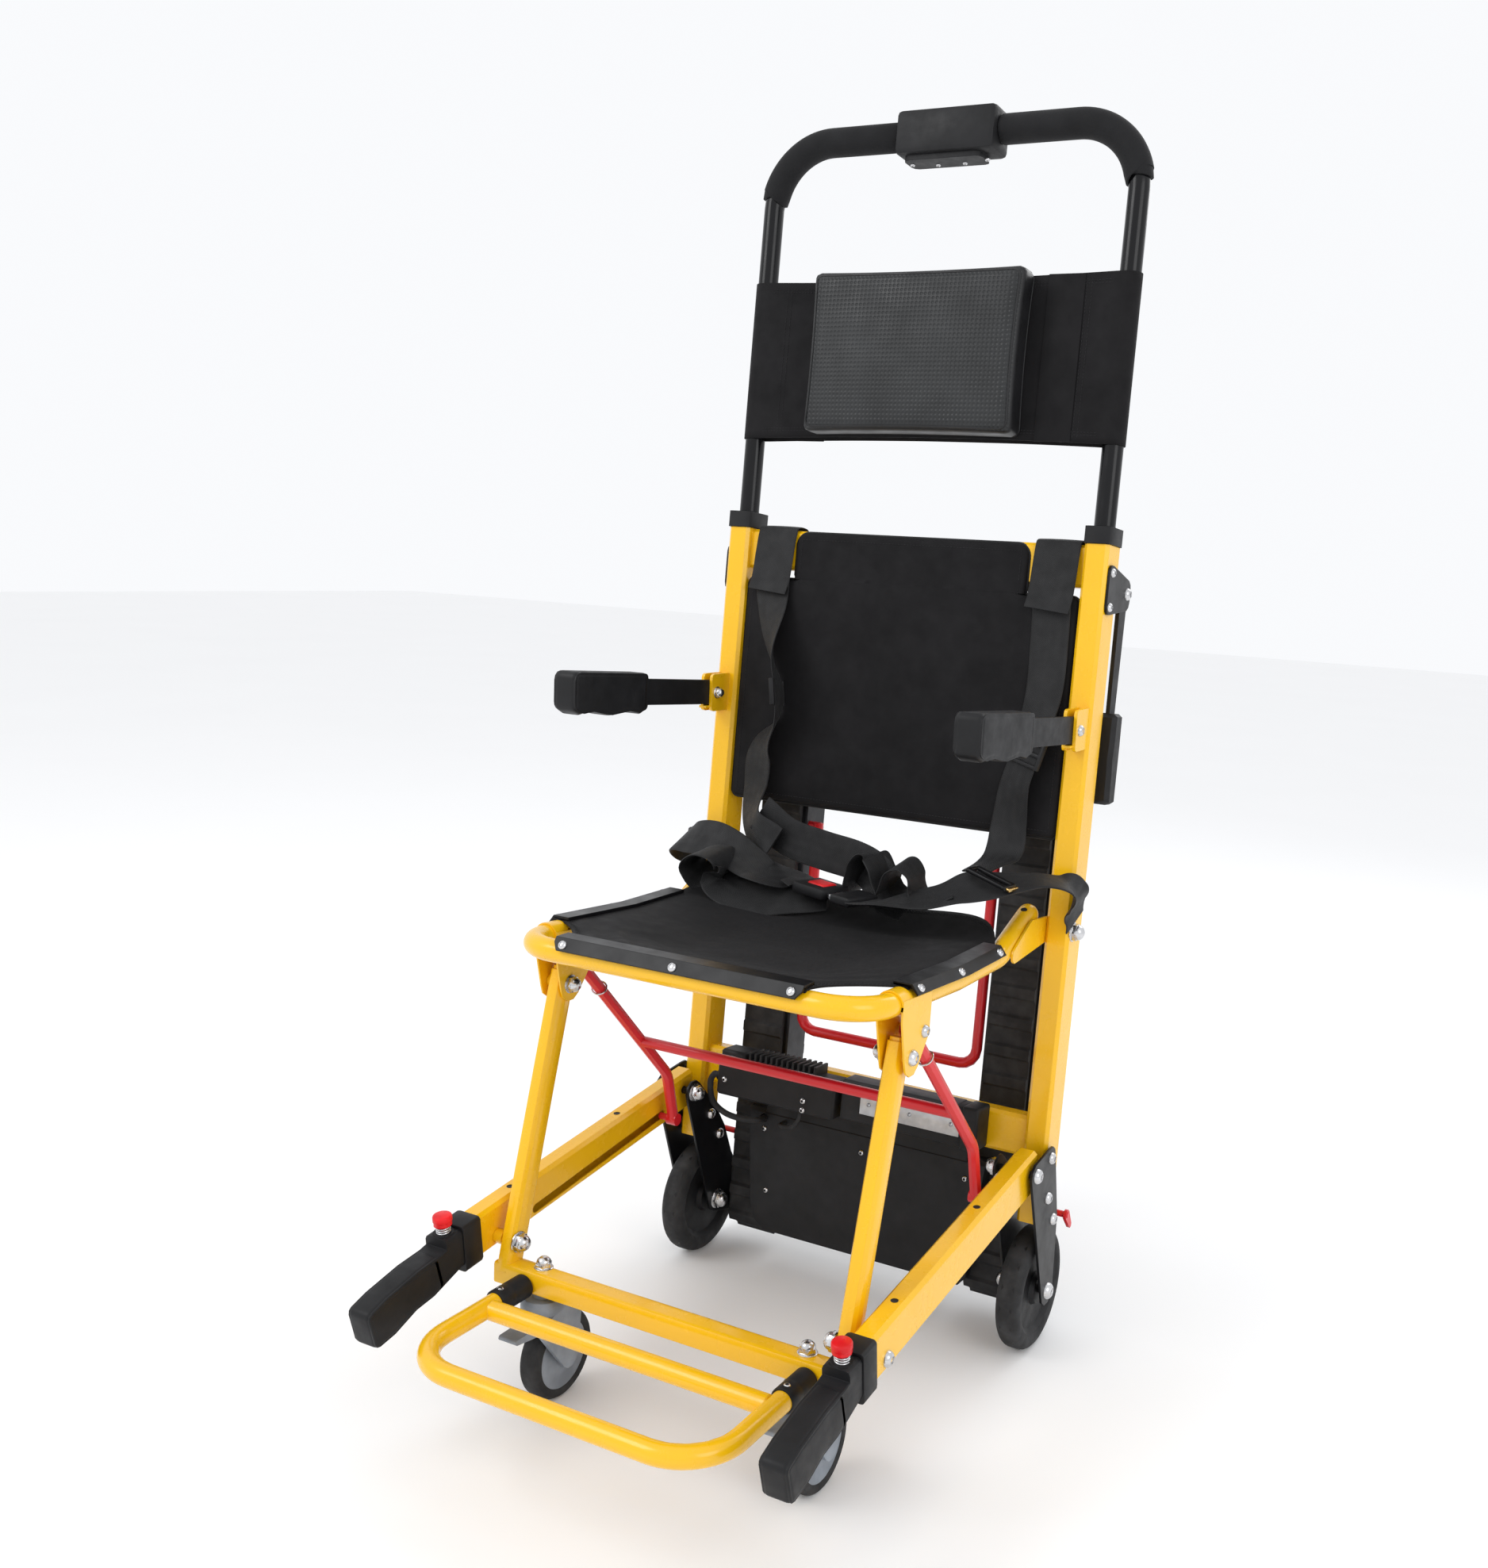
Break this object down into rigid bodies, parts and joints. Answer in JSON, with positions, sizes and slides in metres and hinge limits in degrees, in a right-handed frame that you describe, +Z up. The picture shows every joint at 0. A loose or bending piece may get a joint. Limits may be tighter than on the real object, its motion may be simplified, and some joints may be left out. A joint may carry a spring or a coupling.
{
  "type": "electric stair chair",
  "caption": "Folding carry chair with a yellow tube frame, black fabric seat and back, headrest, harness, four wheels and a powered track unit behind.",
  "frame": {"origin": "On the floor under the middle of the whole chair", "axes": "+Z up; +X to the right seen from the front; the front of the chair, with the footrest, faces -Y"},
  "size_m": [0.5485, 0.7724, 1.4832],
  "materials": {
    "yellow_paint": "gloss powder coat, yellow",
    "black_paint": "satin black paint",
    "black_plastic": "moulded, fine grain",
    "grey_plastic": "moulded, grey",
    "red_paint": "gloss red paint",
    "red_plastic": "red, glossy",
    "bright_steel": "bright",
    "black_tube": "gloss black tube",
    "foam": "closed-cell foam sleeve",
    "rubber": "dark grey rubber",
    "black_fabric": "woven, coated",
    "webbing": "woven webbing",
    "leatherette": "grained, dimpled"
  },
  "bodies": {
    "frame": {"main_frame": "yellow_paint", "upright_cap_left": "black_plastic", "upright_cap_right": "black_plastic", "wheel_plate_outer_left": "black_paint", "wheel_plate_outer_right": "black_paint", "wheel_plate_inner_left": "black_paint", "wheel_plate_inner_right": "black_paint", "rear_handle_bracket_left": "black_paint", "rear_handle_bracket_right": "black_paint", "backrest_pad": "black_fabric", "shoulder_strap_left": "webbing", "shoulder_strap_right": "webbing", "lap_belt_left": "webbing", "lap_belt_right": "webbing", "controller_box": "black_plastic", "battery_pack": "black_plastic", "motor_cable": "rubber", "sensor_cable": "rubber", "motor_cover": "black_plastic"},
    "handle": {"handle_tube": "black_tube", "handle_foam_left": "foam", "handle_foam_right": "foam", "control_box": "black_plastic", "headrest_sling": "black_fabric", "headrest_cushion": "leatherette"},
    "rocker": {"drive_rocker": "red_plastic"},
    "armrest_left": {"armrest_left": "black_plastic"},
    "armrest_right": {"armrest_right": "black_plastic"},
    "rear_handle_left": {"rear_handle_left": "black_plastic"},
    "rear_handle_right": {"rear_handle_right": "black_plastic"},
    "beams": {"beam_left": "yellow_paint", "beam_right": "yellow_paint"},
    "seat": {"seat_frame": "yellow_paint", "seat_fabric": "black_fabric", "seat_strip_front": "black_paint", "seat_strip_left": "black_paint", "seat_strip_right": "black_paint", "buckle": "black_plastic", "buckle_tongue": "bright_steel"},
    "buckle_button": {"buckle_button": "red_plastic"},
    "legs": {"leg_frame": "yellow_paint"},
    "link": {"folding_link": "red_paint"},
    "footrest": {"footrest": "yellow_paint"},
    "caster_left": {"caster_fork_left": "grey_plastic"},
    "caster_right": {"caster_fork_right": "grey_plastic"},
    "caster_wheel_left": {"caster_wheel_left": "rubber"},
    "caster_wheel_right": {"caster_wheel_right": "rubber"},
    "caster_pedal_left": {"caster_pedal_left": "grey_plastic"},
    "caster_pedal_right": {"caster_pedal_right": "grey_plastic"},
    "lift_handle_left": {"front_handle_left": "black_plastic"},
    "lift_handle_right": {"front_handle_right": "black_plastic"},
    "handle_button_left": {"handle_button_left": "red_plastic"},
    "handle_button_right": {"handle_button_right": "red_plastic"},
    "rear_wheel_left": {"rear_wheel_left": "rubber"},
    "rear_wheel_right": {"rear_wheel_right": "rubber"},
    "track": {"track_belt_left": "rubber", "track_belt_right": "rubber", "track_chassis": "grey_plastic"},
    "release_bar": {"release_bar": "red_paint"},
    "track_lock": {"track_lock_bar": "red_paint"}
  },
  "joints": [
    {"name": "handle_slide", "type": "slide", "parent": "frame", "child": "handle", "axis": [0, 0.0847, 0.9964], "range_m": [-0.09, 0.12]},
    {"name": "drive_rocker_tilt", "type": "hinge", "parent": "handle", "child": "rocker", "pos_m": [0, 0.37554, 1.4548], "axis": [0, 0.0847, 0.9964], "range_deg": [-6, 6], "stiffness_Nm_per_rad": 0.05},
    {"name": "armrest_left_hinge", "type": "hinge", "parent": "frame", "child": "armrest_left", "pos_m": [-0.248, 0.2448, 0.762], "axis": [-1, 0, 0], "range_deg": [0, 85]},
    {"name": "armrest_right_hinge", "type": "hinge", "parent": "frame", "child": "armrest_right", "pos_m": [0.248, 0.2448, 0.762], "axis": [-1, 0, 0], "range_deg": [0, 85]},
    {"name": "rear_handle_left_hinge", "type": "hinge", "parent": "frame", "child": "rear_handle_left", "pos_m": [-0.256, 0.35896, 0.91727], "axis": [1, 0, 0], "range_deg": [0, 100]},
    {"name": "rear_handle_right_hinge", "type": "hinge", "parent": "frame", "child": "rear_handle_right", "pos_m": [0.256, 0.35896, 0.91727], "axis": [1, 0, 0], "range_deg": [0, 100]},
    {"name": "fold", "type": "hinge", "parent": "frame", "child": "beams", "pos_m": [0, 0.1858, 0.244], "axis": [-1, 0, 0], "range_deg": [0, 65]},
    {"name": "seat_fold", "type": "hinge", "parent": "frame", "child": "seat", "pos_m": [0, 0.2638, 0.521], "axis": [-1, 0, 0], "range_deg": [0, 65], "deforming": ["shoulder_strap_left", "shoulder_strap_right", "lap_belt_left", "lap_belt_right"]},
    {"name": "leg_fold", "type": "hinge", "parent": "beams", "child": "legs", "pos_m": [0, -0.1752, 0.182], "axis": [-1, 0, 0], "range_deg": [-65, 0]},
    {"name": "link_fold", "type": "hinge", "parent": "seat", "child": "link", "pos_m": [0, -0.0712, 0.48], "axis": [-1, 0, 0], "range_deg": [-13.4, 0]},
    {"name": "footrest_hinge", "type": "hinge", "parent": "legs", "child": "footrest", "pos_m": [0, -0.1925, 0.157], "axis": [-1, 0, 0], "range_deg": [0, 95]},
    {"name": "caster_left_swivel", "type": "hinge", "parent": "legs", "child": "caster_left", "pos_m": [-0.167, -0.1732, 0.128], "axis": [0, 0, 1], "continuous": true},
    {"name": "caster_left_roll", "type": "hinge", "parent": "caster_left", "child": "caster_wheel_left", "pos_m": [-0.167, -0.1492, 0.05], "axis": [1, 0, 0], "continuous": true},
    {"name": "caster_left_brake", "type": "hinge", "parent": "caster_left", "child": "caster_pedal_left", "pos_m": [-0.167, -0.1932, 0.097], "axis": [1, 0, 0], "range_deg": [0, 15]},
    {"name": "caster_right_swivel", "type": "hinge", "parent": "legs", "child": "caster_right", "pos_m": [0.167, -0.1732, 0.128], "axis": [0, 0, 1], "continuous": true},
    {"name": "caster_right_roll", "type": "hinge", "parent": "caster_right", "child": "caster_wheel_right", "pos_m": [0.167, -0.1492, 0.05], "axis": [1, 0, 0], "continuous": true},
    {"name": "caster_right_brake", "type": "hinge", "parent": "caster_right", "child": "caster_pedal_right", "pos_m": [0.167, -0.1932, 0.097], "axis": [1, 0, 0], "range_deg": [0, 15]},
    {"name": "lift_handle_left_slide", "type": "slide", "parent": "beams", "child": "lift_handle_left", "axis": [0, -0.9922, -0.1246], "range_m": [0, 0.07]},
    {"name": "lift_handle_left_button", "type": "slide", "parent": "lift_handle_left", "child": "handle_button_left", "axis": [0, 0.1246, -0.9922], "range_m": [0, 0.004], "stiffness_N_per_m": 500, "springref_m": -0.001},
    {"name": "lift_handle_right_slide", "type": "slide", "parent": "beams", "child": "lift_handle_right", "axis": [0, -0.9922, -0.1246], "range_m": [0, 0.07]},
    {"name": "lift_handle_right_button", "type": "slide", "parent": "lift_handle_right", "child": "handle_button_right", "axis": [0, 0.1246, -0.9922], "range_m": [0, 0.004], "stiffness_N_per_m": 500, "springref_m": -0.001},
    {"name": "buckle_release", "type": "slide", "parent": "seat", "child": "buckle_button", "axis": [0, 0, -1], "range_m": [0, 0.0024], "stiffness_N_per_m": 500, "springref_m": -0.001},
    {"name": "rear_wheel_left_roll", "type": "hinge", "parent": "frame", "child": "rear_wheel_left", "pos_m": [-0.241, 0.2488, 0.075], "axis": [1, 0, 0], "continuous": true},
    {"name": "rear_wheel_right_roll", "type": "hinge", "parent": "frame", "child": "rear_wheel_right", "pos_m": [0.241, 0.2488, 0.075], "axis": [1, 0, 0], "continuous": true},
    {"name": "track_deploy", "type": "hinge", "parent": "frame", "child": "track", "pos_m": [0, 0.29899, 0.05826], "axis": [-1, 0, 0], "range_deg": [0, 25]},
    {"name": "track_release", "type": "hinge", "parent": "track", "child": "release_bar", "pos_m": [0, 0.3291, 0.58962], "axis": [1, 0, 0], "range_deg": [0, 25]},
    {"name": "track_lock", "type": "hinge", "parent": "track", "child": "track_lock", "pos_m": [0, 0.29081, 0.15802], "axis": [1, 0, 0], "range_deg": [0, 20]}
  ],
  "couplings": [
    {"joint": "seat_fold", "follows": "fold", "ratio": 1},
    {"joint": "leg_fold", "follows": "fold", "ratio": -1},
    {"joint": "link_fold", "follows": "fold", "ratio": -0.205}
  ]
}
